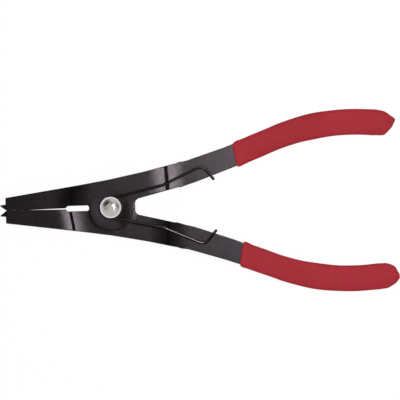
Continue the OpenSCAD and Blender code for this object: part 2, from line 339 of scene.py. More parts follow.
# The brightness of a card fades to its rim's between these shares of its width
card_fade = (0.2, 0.5)
card_sides = 64
# Cards as (name, centre, width, depth, brightness in the middle and at the rim, turn)
cards = (("ceiling", (0, 0, 2.2), 8, 8, 0.5, 0.5, 0),
         ("far_ceiling", (0, 0, 2.3), 18, 18, 0.6, 0.6, 0),
         ("left_flag", (-0.95, 0.35, 1.6), 1.9, 2.0, 0.2, 0.45, 0),
         ("upper_flag", (-1.3, 1.45, 1.58), 3.1, 2.1, 0.0, 0.4, 42),
         ("right_flag", (1.55, 0.3, 1.3), 1.9, 1.6, 0.18, 0.45, 0),
         ("top_flag", (-0.72, 0.78, 1.5), 1.5, 2.0, 0.0, 0.4, -47),
         ("middle_flag", (-0.04, 0.6, 1.52), 1.1, 0.7, 0.12, 0.42, 0),
         ("strip", (0.26, 0.02, 0.94), 0.05, 0.84, 2.0, 2.0, 0))

# Camera: the photograph's scale, its size, where the rivet lies in it and how far it is turned
pixel_l = 0.555
image_px = 400
pivot_px = (110.75, 207.45)
image_turn = 1.8
lens = 600
sensor_w = 36
clip_near_m = 0.01
clip_far_m = 40


def heading(a):
    """Unit vector in plan at a degrees from +X."""
    return np.array([cos(radians(a)), sin(radians(a))])


def arc(centre, r, start, end, parts):
    """Points of an arc in plan, from one angle to the other in degrees."""
    return [np.array(centre) + r * heading(start + (end - start) * i / parts)
            for i in range(parts + 1)]


def smooth(t):
    """0 below 0 and 1 above 1, with a smooth turn between."""
    t = np.clip(t, 0, 1)
    return t * t * (3 - 2 * t)


# Middle of the spring's coil, and heights of its wire on the boss and the handles
coil_centre = (coil_play - 2 * wire_gap) * heading(coil_side)
on_front = face_z + wire_gap + wire_d / 2
on_handle = far_z + plate_t + wire_gap + wire_d / 2

# The middle line of the handle, by the distance s along it
bow_start = neck_l + straight_l
tail_start = bow_start + bow_r * radians(straight_angle + tail_angle)
handle_end = tail_start + tail_l
neck_point = np.array([neck_x, neck_y])
bend_point = neck_point + neck_l * heading(neck_angle)
bow_centre = (bend_point + straight_l * heading(straight_angle)
              - bow_r * heading(straight_angle + 90))
tail_point = bow_centre + bow_r * heading(90 - tail_angle)


def path(s):
    """Point of the handle's middle line, and its slope in degrees."""
    if s < neck_l:
        return neck_point + s * heading(neck_angle), neck_angle
    if s < bow_start:
        return bend_point + (s - neck_l) * heading(straight_angle), straight_angle
    if s < tail_start:
        angle = straight_angle - degrees((s - bow_start) / bow_r)
        return bow_centre + bow_r * heading(angle + 90), angle
    return tail_point + (s - tail_start) * heading(-tail_angle), -tail_angle


def handle_width(s):
    """Width of the handle at s."""
    return float(np.interp(
        s, [0, grip_start, grip_start + taper_l, bow_start, bow_start + widen_l],
        [neck_w, mouth_w, tang_w, tang_w, end_w]))


def beside(s, off):
    """Point beside the handle's middle line, off millimetres towards its outer edge."""
    point, angle = path(s)
    return point + off * heading(angle + 90)


def corner(a, b, c, r):
    """Points of a fillet of radius r at b, between the lines to a and c."""
    a, b, c = (np.array(p, float) for p in (a, b, c))
    u, v = a - b, c - b
    la, lc = norm(u), norm(v)
    u, v = u / la, v / lc
    half = acos(float(np.clip(u @ v, -1, 1))) / 2
    turn = pi - 2 * half
    if r == 0 or turn < tiny:
        return [b]
    reach = min(r / tan(half), fillet_share * la, fillet_share * lc)
    r = reach * tan(half)
    middle = b + (u + v) / norm(u + v) * r / sin(half)
    p, q = b + u * reach - middle, b + v * reach - middle
    parts = max(2, ceil(degrees(turn) / fillet_step))
    return [middle + (sin(turn * (1 - i / parts)) * p + sin(turn * i / parts) * q)
            / sin(turn) for i in range(parts + 1)]


def rounded(corners):
    """Closed outline through corners given as (x, y, radius)."""
    points = []
    for i, (x, y, r) in enumerate(corners):
        before, after = corners[i - 1], corners[(i + 1) % len(corners)]
        points += corner(before[:2], (x, y), after[:2], r)
    return points


def open_line(corners):
    """Line through corners given as (x, y, radius), open at both ends."""
    line = [np.array(corners[0][:2], float)]
    for before, at, after in zip(corners, corners[1:], corners[2:]):
        line += corner(before[:2], at[:2], after[:2], at[2])
    return line + [np.array(corners[-1][:2], float)]


def cut(a, b, parts):
    """Starts of the equal parts of a straight line."""
    return [a + (b - a) * i / parts for i in range(parts)]


def plain(points):
    """Points as corners with no fillet."""
    return [(*p, 0) for p in points]


def step_frame(kind):
    """Where the front lever's step crosses the X axis, and the directions past and along it."""
    if kind == "jaw":
        return -jaw_step_l, -heading(-jaw_step_tilt), heading(90 - jaw_step_tilt)
    return handle_step_l, heading(handle_step_tilt), heading(90 + handle_step_tilt)


def step_place(kind, u, v):
    """Point in plan at u past a step and v along it."""
    at_x, past, along = step_frame(kind)
    return np.array([at_x, 0]) + u * past + v * along


def past_step(kind, x, y):
    """Distance of a point in plan past a step."""
    at_x, past, _ = step_frame(kind)
    return past[0] * (x - at_x) + past[1] * y


def from_steps(x, y):
    """Distance of a point in plan from the nearer step."""
    return np.minimum(*(np.abs(past_step(kind, x, y)) for kind in ("jaw", "handle")))


def step_share(u, rolls, face_l):
    """Share of the whole step at distance u past it: a steep face between two soft rolls."""
    u = np.asarray(u, float)
    roll_l, edge = np.where(u < 0, *rolls), face_l / 2
    share = 0
    for offset in step_softening:
        past = u + offset * step_soft_l
        t = np.clip(np.abs(past), 0, roll_l)
        near = (0.5 - roll_share) * np.minimum(t / edge, 1)
        roll = np.where(t < edge, 0, roll_share * (1 - ((roll_l - t) / (roll_l - edge)) ** 2))
        share = share + (0.5 + np.sign(past) * (near + roll)) / len(step_softening)
    return share


def lever_mid_z(boss_z, x, y):
    """Height of the middle of a plate whose boss lies at boss_z, for the front lever's plan."""
    gone = np.maximum(step_share(past_step("jaw", x, y), jaw_rolls, jaw_face_l),
                      step_share(past_step("handle", x, y), handle_rolls, handle_face_l))
    return boss_z + plate_t / 2 + (far_z - boss_z) * gone


def in_nib(x, y):
    """1 on the thin nib, 0 on the full plate, with a ground shoulder between."""
    along = smooth((-jaw_l + notch_d - x) / nib_shoulder_l)
    return along * smooth((nib_w + nib_shoulder_off - y) / nib_shoulder_w)


def lever_half_t(x, y):
    """Half the thickness of the plate or the nib."""
    return plate_t / 2 - (plate_t - nib_t) / 2 * in_nib(x, y)


def handle_side(s, sign):
    """Edge of the handle at s, drawn in a little where the coat hides it."""
    inset = tang_inset * smooth((s - bow_start) / tang_inset_l)
    return beside(s, sign * (handle_width(s) / 2 - inset))


def jaw_corners():
    """Corners of the outer edge, from the nib's point to the handle's step."""
    return [(-jaw_l - nib_l, nib_point_w, nib_point_r), (-jaw_l, nib_w, nib_foot_r),
            (-jaw_l, jaw_end_w, jaw_corner_r), (-jaw_root_l, jaw_root_w, easy_r),
            (0, pivot_w, easy_r), (root_l, root_w, easy_r),
            (handle_step_l, handle_step_w, easy_r)]


def handle_corners():
    """Corners of the handle, from its outer edge round its end to its inner edge."""
    stations = np.arange(grip_start, handle_end, handle_station_l)
    reach, half_w = end_l - tang_short, end_w / 2 - tang_inset
    end = [beside(handle_end + reach * cos(a), half_w * sin(a))
           for a in np.radians(np.linspace(90, -90, tang_end_parts))]
    return ([(*handle_side(0, 1), neck_r), (*handle_side(neck_l, 1), easy_r)]
            + plain([handle_side(s, 1) for s in stations]) + plain(end[1:-1])
            + plain([handle_side(s, -1) for s in stations[::-1]])
            + [(*handle_side(neck_l, -1), easy_r), (*handle_side(0, -1), easy_r)])


def crotch_corners():
    """Corners of the fillet between the handle's inner edge and the boss."""
    centre = np.array([crotch_l + crotch_r, crotch_w])
    reach = handle_side(0, -1) - centre
    slope = degrees(atan2(reach[1], reach[0]) - asin(crotch_r / norm(reach)))
    return plain(arc(centre, crotch_r, 90 + slope, 180, crotch_parts))


def boss_corners():
    """Corners of the boss, which is round below and flatter towards the window."""
    side_x = boss_side_r - window_near
    meet_x = (boss_side_r ** 2 - boss_r ** 2 - side_x ** 2) / (-2 * side_x)
    round_end = -degrees(acos(meet_x / boss_r))
    meet = boss_r * heading(round_end)
    side_from = degrees(atan2(meet[1], meet[0] - side_x))
    boss = arc((0, 0), boss_r, boss_from_angle, round_end + boss_arc_short, boss_parts)
    boss_side = arc((side_x, 0), boss_side_r, side_from - boss_side_short, -180,
                    boss_side_parts)
    return ([(crotch_l, boss_from_y, 0)] + plain(boss) + [(*meet, boss_meet_r)]
            + plain(boss_side))


def window_corners():
    """Corners of the window and of the jaw's inner edge, back to the nib's point."""
    end_r, half_gap = window_w / 2, jaw_gap / 2
    near = (-window_near - window_corner_r, end_r - window_corner_r)
    far = (-window_far + end_r, 0)
    slit_angle = 180 - degrees(asin(slit_w / 2 / end_r))
    window = (arc(near, window_corner_r, 0, 90, window_near_parts)
              + arc(far, end_r, 90, slit_angle, window_far_parts))
    return plain(window) + [(-jaw_l + jaw_touch_l, half_gap, easy_r),
                            (-jaw_l + notch_d, half_gap, nib_foot_r),
                            (-jaw_l - nib_l, nib_point_w - nib_tip_w, nib_point_r)]


def lever_corners():
    """Plan of the front lever, clockwise from the nib's point, with a radius for each corner."""
    return (jaw_corners() + handle_corners() + crotch_corners() + boss_corners()
            + window_corners())


def resampled(points):
    """The outline with its long edges divided, and more finely where it crosses a step."""
    dense = []
    for a, b in zip(points, points[1:] + points[:1]):
        length = norm(b - a)
        if length < tiny:
            continue
        fine = cut(a, b, ceil(length / edge_l))
        for p, q in zip(fine, fine[1:] + [b]):
            near_step = from_steps(*(p + q) / 2) < fine_near_step
            fine_here = near_step and norm(q - p) > fine_edge_l
            dense += cut(p, q, fine_pieces if fine_here else 1)
    return np.array(dense)


def inward(loop):
    """Mitred inward normals of a loop that has its metal on the right."""
    ahead = np.roll(loop, -1, axis=0) - loop
    ahead /= norm(ahead, axis=1)[:, None]
    right = np.stack([ahead[:, 1], -ahead[:, 0]], axis=1)
    total = right + np.roll(right, 1, axis=0)
    total /= norm(total, axis=1)[:, None]
    return total / np.maximum((total * right).sum(1), least_mitre)[:, None]


def bulged(loop, inner_at):
    """The outline with the metal that the press squeezed out beside the handle's step."""
    u = past_step("handle", *loop.T)
    middle_y = neck_y + (loop[:, 0] - neck_x) * tan(radians(neck_angle))
    at = np.where(loop[:, 1] > middle_y, bulge_at, inner_at)
    on_handle = (loop[:, 0] > crotch_l + 2 * crotch_r) & (np.abs(u - at) < bulge_reach)
    length = np.where(u < at, *bulge_lengths)
    out = np.where(on_handle, bulge_h * np.exp(-((u - at) / length) ** 2), 0)
    return loop - inward(loop) * out[:, None]


def inside(points, loop):
    """Which points lie inside a closed outline."""
    hit = np.zeros(len(points), bool)
    for (x0, y0), (x1, y1) in zip(loop, np.roll(loop, -1, axis=0)):
        crosses = (y0 > points[:, 1]) != (y1 > points[:, 1])
        if crosses.any():
            at = x0 + (points[:, 1] - y0) * (x1 - x0) / (y1 - y0)
            hit ^= crosses & (points[:, 0] < at)
    return hit


def face_points(loop, bore_r):
    """Points inside the plate's face: rows along the steps, a fine patch at the nib, and a grid."""
    rows = [step_place(kind, sign * u, v)
            for kind in ("jaw", "handle") for u in step_rows for sign in (1, -1)
            for v in np.arange(*rows_y, row_spacing)]
    patch = [(x, y) for x in np.arange(*patch_x, patch_spacing)
             for y in np.arange(*patch_y, patch_spacing)]
    grid = np.array([(x, y + grid_spacing / 2 * (i % 2))
                     for i, x in enumerate(np.arange(*grid_x, grid_spacing))
                     for y in np.arange(*grid_y, grid_spacing)])
    off_steps = from_steps(*grid.T) > rows_end
    off_patch = grid[:, 0] > patch_x[1] + patch_gap
    kept = []
    for points, room in ((rows, row_room), (patch, patch_room),
                         (grid[off_steps & off_patch], grid_room)):
        points = np.array(points)
        points = points[inside(points, loop)]
        points = points[norm(points, axis=1) > bore_r + bore_room]
        gap = norm(points[:, None] - loop[None], axis=2).min(1)
        kept.append(points[gap > room])
    return np.concatenate(kept)


def edge_profile(low_r, top_r, parts):
    """(inset, side, drop, wear) from the lower face round a plate's edge to the upper face."""
    turns = [pi / 2 * i / parts for i in range(parts + 1)]
    profile = [(low_r + edge_border, -1, 0, 0)]
    for r, side, angles in ((low_r, -1, turns), (top_r, 1, turns[::-1])):
        profile += [(r * (1 - sin(t)), side, r * (1 - cos(t)), sin(2 * t))
                    for t in angles]
    return profile + [(top_r + edge_border, 1, 0, 0)]


def edge_share(loop):
    """How much of its full size the rounded edge has at each point of an outline."""
    share = 1 - (1 - nib_edge_share) * in_nib(loop[:, 0] - nib_shoulder_l, loop[:, 1])
    reach = norm(loop, axis=1)
    near_boss = (smooth((boss_r + boss_edge_out - reach) / boss_edge_fade)
                 * smooth(reach / boss_r * 2 - 1))
    return share * (1 + (boss_edge_share - 1) * near_boss)


def edge_rings(loops, boss_z, side_y):
    """Points, faces and wear of a plate's edges, and (lowest ring, highest ring, sides) of each."""
    points, faces, wear, rims = [], [], [], []
    for loop, profile in loops:
        count, normals, share = len(loop), inward(loop), edge_share(loop)
        first = len(points)
        for inset, side, drop, worn in profile:
            at = loop + normals * (inset * share)[:, None]
            z = lever_mid_z(boss_z, *at.T) + side * (lever_half_t(*at.T) - drop * share)
            points += [(x, side_y * y, h) for (x, y), h in zip(at, z)]
            wear += [worn] * count
        faces += ring_faces(first, len(profile), count)
        rims.append((first, first + (len(profile) - 1) * count, count))
    return points, faces, wear, rims


def face_triangles(rims, interior):
    """Triangles between the outer rim and the bore's, through a face's inner points."""
    flat = np.concatenate(rims + [interior])
    edges, start = [], 0
    for rim in rims:
        edges += [(start + i, start + (i + 1) % len(rim)) for i in range(len(rim))]
        start += len(rim)
    _, _, tris, origin, _, _ = delaunay_2d_cdt([Vector(p) for p in flat], edges, [], 0, weld_l)
    source = [o[0] for o in origin]
    middles = np.array([np.mean([flat[source[i]] for i in t], axis=0) for t in tris])
    outer, bore = rims
    off_bore = norm(middles, axis=1) > norm(bore[0]) * bore_rim_share
    kept = inside(middles, outer) & off_bore
    return [tuple(source[i] for i in t) for t, k in zip(tris, kept) if k]


def plate_mesh(loops, interior, boss_z, mirrored):
    """Points, faces and wear of a plate from its loops, each given as (points, edge profile)."""
    side_y = -1 if mirrored else 1
    points, faces, wear, rims = edge_rings(loops, boss_z, side_y)
    tops = [np.array([p[:2] for p in points[top:top + count]]) * (1, side_y)
            for _, top, count in rims]
    triangles = face_triangles(tops, interior)
    for side in (-1, 1):
        index = [(top if side > 0 else low) + i for low, top, count in rims for i in range(count)]
        index += range(len(points), len(points) + len(interior))
        z = lever_mid_z(boss_z, *interior.T) + side * lever_half_t(*interior.T)
        points += [(x, side_y * y, h) for (x, y), h in zip(interior, z)]
        wear += [0.0] * len(interior)
        faces += [tuple(index[i] for i in t) for t in triangles]
    return points, faces, wear


def mesh_piece(name, points, faces, material, node, body=None, wear=None, sharp=40):
    """A piece from points in millimetres that stands for a CAD node and rides on its body."""
    mesh = bpy.data.meshes.new(name)
    mesh.from_pydata([tuple(c * MM for c in p) for p in points], [], faces)
    if wear is not None:
        attribute = mesh.attributes.new("wear", "FLOAT", "POINT")
        attribute.data.foreach_set("value", np.array(wear, np.float32))
    bm = bmesh.new()
    bm.from_mesh(mesh)
    bmesh.ops.recalc_face_normals(bm, faces=bm.faces)
    loose = [v for v in bm.verts if not v.link_faces]
    bmesh.ops.delete(bm, geom=loose, context="VERTS")
    bm.to_mesh(mesh)
    bm.free()
    mesh.shade_smooth()
    mesh.set_sharp_from_angle(angle=radians(sharp))
    mesh.materials.append(material)
    piece = bpy.data.objects.new(name, mesh)
    bpy.context.scene.collection.objects.link(piece)
    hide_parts(node)
    if body:
        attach(piece, body)
    return piece


def ring_faces(first, rings, sides):
    """Quads between rings of points that follow each other from index first."""
    return [(first + r * sides + i, first + r * sides + (i + 1) % sides,
             first + (r + 1) * sides + (i + 1) % sides, first + (r + 1) * sides + i)
            for r in range(rings - 1) for i in range(sides)]


def lathe(profile, sides, closed=False):
    """Points and faces of a profile of (radius, height) turned about the pivot's axis."""
    points, faces, rings = [], [], []
    for r, z in profile:
        rings.append((len(points), r > 0))
        points += [(*(r * heading(360 * i / sides)), z) for i in range(sides if r > 0 else 1)]
    pairs = list(zip(rings, rings[1:] + rings[:1]))
    for (a, wide_a), (b, wide_b) in pairs if closed else pairs[:-1]:
        for i in range(sides):
            j = (i + 1) % sides
            if wide_a and wide_b:
                faces.append((a + i, a + j, b + j, b + i))
            elif wide_a or wide_b:
                ring, tip = (a, b) if wide_a else (b, a)
                faces.append((ring + i, ring + j, tip))
    return points, faces


def new_material(name, colour, roughness, metallic=0, ior=1.5):
    """A Principled material, its shader, and short calls for its nodes."""
    material = bpy.data.materials.new(name)
    material.use_nodes = True
    material.diffuse_color = (*colour, 1)
    n = Nodes(material.node_tree)
    shader = n.tree.nodes["Principled BSDF"]
    n.feed(shader, {"Base Color": colour, "Roughness": roughness, "Metallic": metallic,
                    "IOR": ior})
    return material, shader, n


class Nodes:
    """Short calls for the nodes of a material or a world."""

    def __init__(self, tree):
        self.tree = tree

    def feed(self, node, inputs):
        """Set inputs of a node to numbers or colours, or link other nodes' outputs to them."""
        for name, value in inputs.items():
            socket = node.inputs[name]
            if isinstance(value, bpy.types.NodeSocket):
                self.tree.links.new(value, socket)
            elif socket.type == "RGBA":
                socket.default_value = (*value, 1)
            else:
                socket.default_value = value

    def add(self, kind, inputs, **settings):
        """A new node's outputs."""
        node = self.tree.nodes.new(kind)
        for name, value in settings.items():
            setattr(node, name, value)
        self.feed(node, inputs)
        return node.outputs

    @property
    def place(self):
        """Object coordinates, from one node that the whole tree shares."""
        if "place" not in self.tree.nodes:
            self.add("ShaderNodeTexCoord", {}, name="place")
        return self.tree.nodes["place"].outputs["Object"]

    def stretched(self, scale):
        """Object coordinates scaled on each axis."""
        return self.add("ShaderNodeMapping", {"Scale": scale, "Vector": self.place})["Vector"]

    def split(self, vector):
        """The X, Y and Z of a vector."""
        return self.add("ShaderNodeSeparateXYZ", {"Vector": vector})

    def reach(self, place):
        """Distance of a place from the origin."""
        return self.add("ShaderNodeVectorMath", {0: place}, operation="LENGTH")["Value"]

    def noise(self, size, detail=3, roughness=0.5, place=None):
        """Noise whose blotches are about size millimetres across."""
        return self.add("ShaderNodeTexNoise", {
            "Scale": 1 / (size * MM), "Detail": detail, "Roughness": roughness,
            "Vector": place or self.place})["Fac"]

    def span(self, value, low, high, to_low=0.0, to_high=1.0, ease="LINEAR"):
        """value from low to high, taken to to_low to to_high and held there."""
        return self.add("ShaderNodeMapRange", {
            "Value": value, "From Min": low, "From Max": high, "To Min": to_low,
            "To Max": to_high}, interpolation_type=ease)["Result"]

    def span_mm(self, value, limits, to_low=0.0, to_high=1.0, ease="LINEAR"):
        """The same for a value in metres, between two limits in millimetres."""
        return self.span(value, limits[0] * MM, limits[1] * MM, to_low, to_high, ease)

    def maths(self, operation, a, b):
        """Result of an operation on two values, each of them a number or an output."""
        return self.add("ShaderNodeMath", {0: a, 1: b}, operation=operation)["Value"]

    def mixed(self, share, a, b):
        """Colour a where share is 0 and b where it is 1. The node's colour sockets come third."""
        return self.add("ShaderNodeMix", {0: share, 6: a, 7: b}, data_type="RGBA")[2]

    def bump(self, height, depth, below=None):
        """Normal of a relief of depth millimetres, over another normal if one is given."""
        inputs = {"Strength": 1, "Distance": depth * MM, "Height": height}
        if below is not None:
            inputs["Normal"] = below
        return self.add("ShaderNodeBump", inputs)["Normal"]

    def seen(self):
        """1 for the rays of the camera, of reflections and through clear things."""
        path = self.add("ShaderNodeLightPath", {})
        direct = self.maths("MAXIMUM", path["Is Camera Ray"], path["Is Glossy Ray"])
        return self.maths("MAXIMUM", direct, path["Is Transmission Ray"])


def boss_press(n):
    """Shares of the dish round the rivet and of the low brow before the handle."""
    reach, spot = n.reach(n.stretched((1, 1, 0))), n.split(n.place)
    dish = n.span_mm(reach, dish_reach, ease="SMOOTHSTEP")
    brow = n.maths("MULTIPLY", n.span_mm(spot["X"], brow_x, ease="SMOOTHSTEP"),
                   n.span_mm(reach, brow_reach, 1, 0, "SMOOTHSTEP"))
    return dish, n.maths("MULTIPLY", brow, n.span_mm(spot["Y"], brow_y, 1, 0, "SMOOTHSTEP"))


def lever_steel():
    """Black oxide on stamped plate: satin, slightly cloudy, with grain and worn edges."""
    deep, pale, worn = (0.0008, 0.0004, 0.0006), (0.0030, 0.0019, 0.0027), (0.02, 0.018, 0.018)
    material, shader, n = new_material("black_oxide_plate", (0.0019, 0.0012, 0.0017), 0.24,
                                       ior=1.222)
    clouds, mottle = n.noise(9, 4, 0.6), n.noise(1.7, 3, 0.65)
    wear = n.add("ShaderNodeAttribute", {}, attribute_name="wear")["Fac"]
    lighter_share = n.maths("MULTIPLY", wear, n.span(n.noise(2.5, 4, 0.7), 0.42, 0.7))
    share = n.maths("ADD", n.span(clouds, 0.3, 0.7, 0, 0.5), n.span(mottle, 0.3, 0.7, 0, 0.5))
    uneven = n.maths("ADD", n.span(clouds, 0.3, 0.7, -0.015, 0.015),
                     n.span(mottle, 0.3, 0.7, 0.215, 0.265))
    facing = n.split(n.add("ShaderNodeNewGeometry", {})["Normal"])["Z"]
    on_side = n.span(n.maths("ABSOLUTE", facing, 0), 0.5, 0.2)
    grain, shear = n.noise(0.22, 2), n.noise(0.35, 3, 0.6, n.stretched((1, 1, 0.06)))
    brushed = n.noise(0.5, 3, 0.6, n.stretched((0.12, 1, 1)))
    dish, brow = boss_press(n)
    relief = None
    for height, depth in ((grain, 0.006), (dish, dish_d), (brow, brow_h), (brushed, 0.004),
                          (n.maths("MULTIPLY", shear, on_side), 0.03)):
        relief = n.bump(height, depth, relief)
    n.feed(shader, {"Base Color": n.mixed(lighter_share, n.mixed(share, deep, pale), worn),
                    "Roughness": uneven, "Specular Tint": (1, 0.87, 0.955), "Normal": relief})
    return material


def grip_vinyl():
    """Dipped vinyl: matte red with a fine orange-peel skin and faint mottling."""
    deep, pale = (0.29, 0.0095, 0.0155), (0.38, 0.0145, 0.029)
    material, shader, n = new_material("dipped_red_vinyl", (0.335, 0.012, 0.022), 0.72, ior=1.26)
    mottle, drift = n.noise(3.2, 4, 0.65), n.noise(22, 2)
    share = n.maths("ADD", n.span(mottle, 0.3, 0.7, 0, 0.6), n.span(drift, 0.35, 0.65, 0, 0.4))
    peel = n.bump(n.noise(0.5, 2, 0.4), 0.035)
    n.feed(shader, {"Base Color": n.mixed(share, deep, pale),
                    "Roughness": n.span(mottle, 0.3, 0.7, 0.66, 0.78),
                    "Normal": n.bump(n.noise(4, 2, 0.4), 0.10, peel)})
    return material


def rivet_nickel():
    """Tumbled nickel: bright, faintly warm, with small dents and a dull haze."""
    bright, dull = (0.91, 0.895, 0.85), (0.82, 0.81, 0.77)
    material, shader, n = new_material("tumbled_nickel", (0.88, 0.865, 0.825), 0.11, metallic=0.98)
    haze = n.noise(1.4, 4, 0.6)
    dents = n.bump(n.noise(1.2, 2), 0.004)
    n.feed(shader, {"Base Color": n.mixed(n.span(haze, 0.35, 0.7), bright, dull),
                    "Roughness": n.span(haze, 0.3, 0.7, 0.045, 0.07),
                    "Normal": n.bump(n.noise(0.25, 2), 0.0012, dents)})
    return material


def zinc_steel():
    """Zinc-plated washer and bush: grey, with turning marks."""
    dull, bright = (0.42, 0.42, 0.42), (0.5, 0.495, 0.47)
    material, shader, n = new_material("zinc_plated_steel", (0.46, 0.46, 0.45), 0.34, metallic=1)
    patches = n.noise(1.8, 3)
    turning_marks = n.noise(0.15, 2, place=n.stretched((1, 1, 6)))
    n.feed(shader, {"Base Color": n.mixed(n.span(patches, 0.35, 0.65), dull, bright),
                    "Roughness": n.span(patches, 0.3, 0.7, 0.28, 0.42),
                    "Normal": n.bump(turning_marks, 0.006)})
    return material


def spring_wire():
    """Oil-blackened spring wire: dull, with a painted highlight along the rear slope and at the
    hooks.
    """
    # The third colour is a painted highlight. It is given along the rear arm's slope and at the
    # hooks, where the lamp's highlight falls, and there the colour and metal rise and the roughness
    # falls.
    deep, pale, painted_highlight_colour = (0.001, 0.0006, 0.0008), (0.003, 0.0022, 0.0026), (0.0265, 0.0225, 0.0243)
    material, shader, n = new_material("blackened_spring_wire", (0.002, 0.0014, 0.0018), 0.3,
                                       ior=1.21)
    patches, spot = n.noise(2.2, 3), n.split(n.place)
    slope = n.maths("MULTIPLY", n.span_mm(spot["Y"], painted_highlight_slope_y, 1, 0),
                    n.span_mm(spot["X"], painted_highlight_slope_x))
    lighter_share = n.maths("MAXIMUM", slope,
                     n.span_mm(spot["X"], painted_highlight_hooks_x, 0, painted_highlight_hooks_share))
    oiled = n.mixed(n.span(patches, 0.35, 0.7), deep, pale)
    dull = n.span(lighter_share, 0, 1, 0.3, 0.09)
    n.feed(shader, {"Base Color": n.mixed(lighter_share, oiled, painted_highlight_colour), "Metallic": lighter_share,
                    "Roughness": n.maths("ADD", dull, n.span(patches, 0.3, 0.7, 0, 0.03)),
                    "Specular Tint": (1, 0.85, 0.92),
                    "Normal": n.bump(n.noise(0.4, 2, 0.5), 0.001)})
    return material


def make_levers(material):
    """Both levers: one plan, mirrored, with the bosses one over the other."""
    outline = resampled([np.array(p, float) for p in rounded(lever_corners())])
    for name, boss_z, play, mirrored in (("front_lever", front_z, rivet_play, False),
                                         ("rear_lever", rear_z, rivet_fit, True)):
        loop = bulged(outline, rear_inner_bulge_at if mirrored else bulge_at)
        bore_r = rivet_r + play
        bore = np.array(arc((0, 0), bore_r, 0, 360, bore_sides)[:-1])
        loops = [(loop, edge_profile(low_edge_r, top_edge_r, edge_parts)),
                 (bore, edge_profile(bore_edge_r, bore_edge_r, bore_edge_parts))]
        points, faces, wear = plate_mesh(loops, face_points(loop, bore_r), boss_z, mirrored)
        mesh_piece(name + "_plate", points, faces, material, name, name,
                   wear=wear, sharp=50)


def squared(c, squareness):
    """Cosine or sine bent towards the corners of a rounded rectangle."""
    return np.sign(c) * np.abs(c) ** (2 / squareness)


def nose_side(start, corners, tip):
    """One edge of the coat's end in plan, as distances past the handle and offsets."""
    line = open_line([(-nose_lead, start, 0), (0, start, 0)] + corners + [(nose_l, tip, 0)])
    line[-1][0] += tiny
    return np.array(line).T


def mouth_rows(coat, start):
    """Rows of the rolled mouth, which is worn away on the handle's outer edge."""
    rows = []
    for ds, extra in mouth_lip:
        s = start + ds
        worn = coat["cut"] * max(1 - ds / mouth_cut_l, 0)
        outer_extra = max(extra - worn, least_coat_t - coat_side_t)
        rows.append((s, coat["sag"] * smooth(ds / sag_l) + (outer_extra - extra) / 2,
                     handle_width(s) / 2 + coat_side_t + (outer_extra + extra) / 2,
                     grip_half_t + extra))
    return rows


def body_rows(coat, start):
    """Rows of the coat's body, which sags to one side and waves a little."""
    rows = []
    for s in np.linspace(start + body_after_start, handle_end - body_before_end, body_parts):
        wave = sum(h * sin(s / length + phase) for h, length, phase in coat_waves)
        rows.append((s, coat["sag"] * smooth((s - start) / sag_l),
                     handle_width(s) / 2 + coat_side_t + wave, grip_half_t + wave / 2))
    return rows


def nose_rows(coat):
    """Rows of the coat's end, between its two edges in plan."""
    half_w = end_w / 2 + coat_side_t
    outer = nose_side(coat["sag"] + half_w, coat["outer"], coat["tip"])
    inner = nose_side(coat["sag"] - half_w, coat["inner"], coat["tip"])
    rows = []
    for i in range(nose_parts):
        x = sin(pi / 2 * i / nose_parts)
        out, back = (np.interp(nose_l * x, *side) for side in (outer, inner))
        left = min((1 - x) * nose_l / (2 * grip_half_t), 1)
        rows.append((handle_end + nose_l * x, (out + back) / 2, (out - back) / 2,
                     grip_half_t * sqrt(1 - (1 - left) ** 2)))
    return rows


def sleeve_rows(start):
    """Rows of the sleeve round the handle, from inside its end back to the mouth."""
    half_w, half_t = end_w / 2 + coat_gap, plate_t / 2 + coat_gap
    end = [(handle_end + (end_l - sleeve_end_short) * sin(a), 0, half_w * cos(a), half_t)
           for a in np.radians(sleeve_end_angles)]
    return end + [(s, 0, handle_width(s) / 2 + coat_gap, half_t)
                  for s in np.linspace(handle_end, start, sleeve_parts)]


def grip_ring(row, squareness, start, side_y):
    """One ring of the coat from (station, middle, half width, half thickness).

    Near the coat's start it leans with the mouth.
    """
    s, middle, half_w, half_t = row
    near = float(smooth(1 - (s - start) / mouth_lean_l))
    ring = []
    for i in range(grip_sides):
        a = 2 * pi * (i + 0.5) / grip_sides
        across = squared(cos(a), squareness)
        off = middle + half_w * across
        lean = mouth_lean * off + mouth_corner * across ** mouth_corner_power
        x, y = beside(s + near * lean, off)
        ring.append((x, side_y * y, grip_mid_z + half_t * squared(sin(a), squareness)))
    return ring


def make_grip(name, body, side_y, coat, material):
    """A dipped coat: outer skin, rolled mouth and the sleeve round the handle."""
    start = grip_start + coat["start"]
    rows = [(row, sleeve_squareness) for row in sleeve_rows(start)]
    rows += [(row, coat_squareness - coat_softening * smooth((row[0] - start) / mouth_lean_l))
             for row in mouth_rows(coat, start) + body_rows(coat, start) + nose_rows(coat)]
    points = [p for row, squareness in rows for p in grip_ring(row, squareness, start, side_y)]
    tip_x, tip_y = beside(handle_end + nose_l, coat["tip"])
    points.append((tip_x, side_y * tip_y, grip_mid_z))
    last = (len(rows) - 1) * grip_sides
    faces = ring_faces(0, len(rows), grip_sides) + [tuple(range(grip_sides))]
    faces += [(last + i, last + (i + 1) % grip_sides, len(points) - 1)
              for i in range(grip_sides)]
    mesh_piece(name + "_coat", points, faces, material, name, body, sharp=60)


def make_rivet(head_z, material):
    """Rivet: dimpled foot, shank and a domed head, flattened in its middle, with a rounded rim."""
    rim_z = head_z + head_rim_h
    dome = [(head_r * x, rim_z + dome_h * (1 - x ** dome_power))
            for x in np.linspace(dome_from, 0, dome_parts)]
    corners = foot_dimple + [
        (foot_r - foot_edge_l, 0, foot_edge_r), (foot_r, foot_h, shank_fillet_r),
        (rivet_r, foot_h, shank_fillet_r), (rivet_r, head_z, shank_fillet_r),
        (head_r - head_draft, head_z, head_low_r), (head_r, rim_z + head_rim_lift, head_rim_r),
        (*dome[0], 0)]
    points, faces = lathe(open_line(corners)[:-1] + dome, rivet_sides)
    mesh_piece("domed_rivet", points, faces, material, "pivot_rivet",
               "rear_lever")


